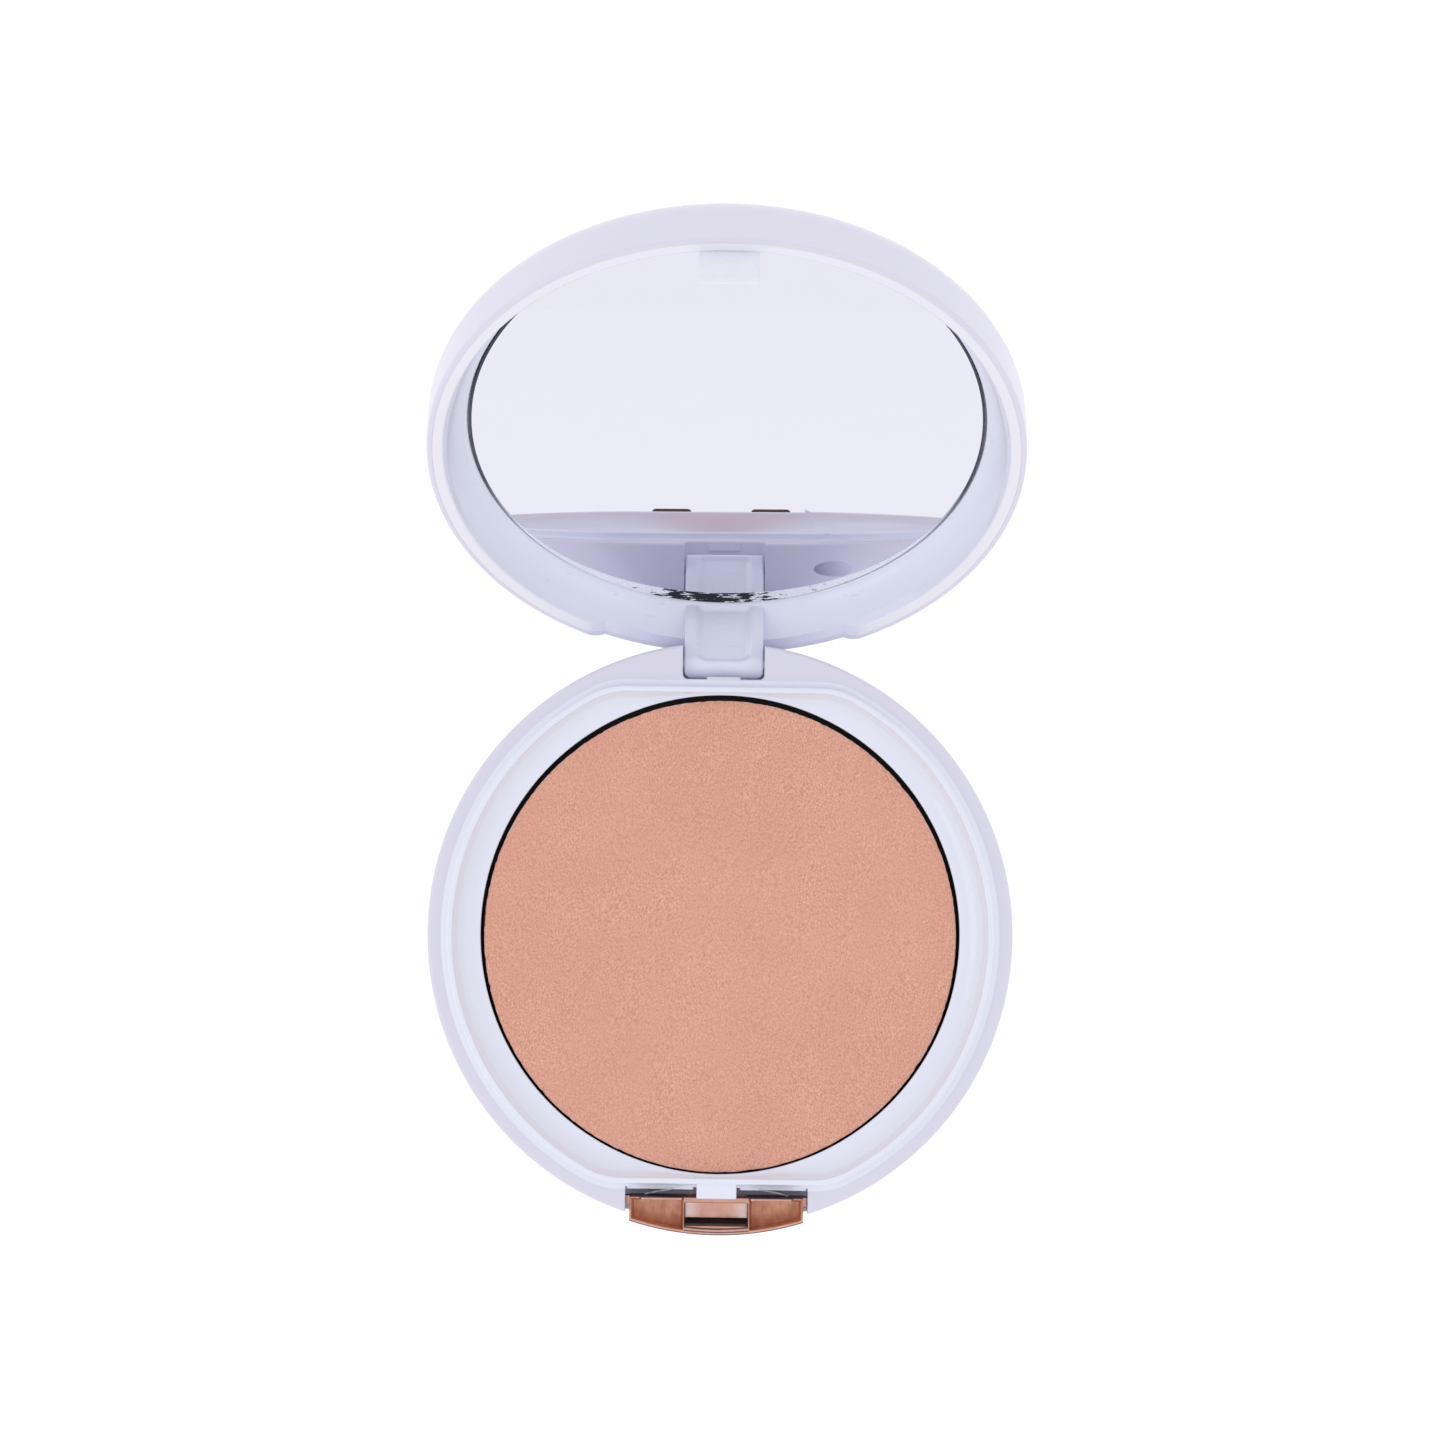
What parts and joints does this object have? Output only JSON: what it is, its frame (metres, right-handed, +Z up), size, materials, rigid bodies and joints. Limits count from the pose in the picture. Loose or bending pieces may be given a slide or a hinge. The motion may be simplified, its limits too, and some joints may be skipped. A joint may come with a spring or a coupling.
{
  "type": "powder compact",
  "caption": "Round powder compact: mirrored lid hinged on a pin over a base with a metal pan of pressed powder and a sprung push-button catch.",
  "frame": {"origin": "centre of the base's flat underside, on the surface the compact lies on", "axes": "+Z up out of the base, +Y from the middle of the base to the hinge, -Y to the release button; the lid is stored open at 132 degrees"},
  "size_m": [0.0732, 0.1257, 0.06],
  "materials": {
    "case_plastic": "gloss, pearl",
    "tray_plastic": "satin",
    "frame_plastic": "satin",
    "button_metal": "rose gold metallised gloss",
    "pan_tin": "bright",
    "powder": "matt pressed powder",
    "glue": "clear glue",
    "label": "blank paper label",
    "spring_steel": "spring steel",
    "pin_steel": "bright drawn",
    "mirror_glass": "polished",
    "mirror_coating": "silvered",
    "tape": "double-sided foam tape"
  },
  "bodies": {
    "base": {"base_shell": "case_plastic", "inner_tray": "tray_plastic", "powder_pan": "pan_tin", "powder_cake": "powder", "pan_glue": "glue", "base_label": "label", "button_spring": "spring_steel", "hinge_pin": "pin_steel"},
    "lid": {"lid_cover": "case_plastic", "mirror_frame": "frame_plastic", "mirror_glass": "mirror_glass", "mirror_coating": "mirror_coating", "mirror_tape": "tape"},
    "button": {"release_button": "button_metal"}
  },
  "joints": [
    {"name": "lid_hinge", "type": "hinge", "parent": "base", "child": "lid", "pos_m": [0, 0.0338, 0.0086], "axis": [-1, 0, 0], "range_deg": [-132, 0]},
    {"name": "button_slide", "type": "slide", "parent": "base", "child": "button", "axis": [0, 1, 0], "range_m": [0, 0.0009], "stiffness_N_per_m": 1500, "springref_m": -0.0005, "deforming": ["button_spring"]}
  ]
}
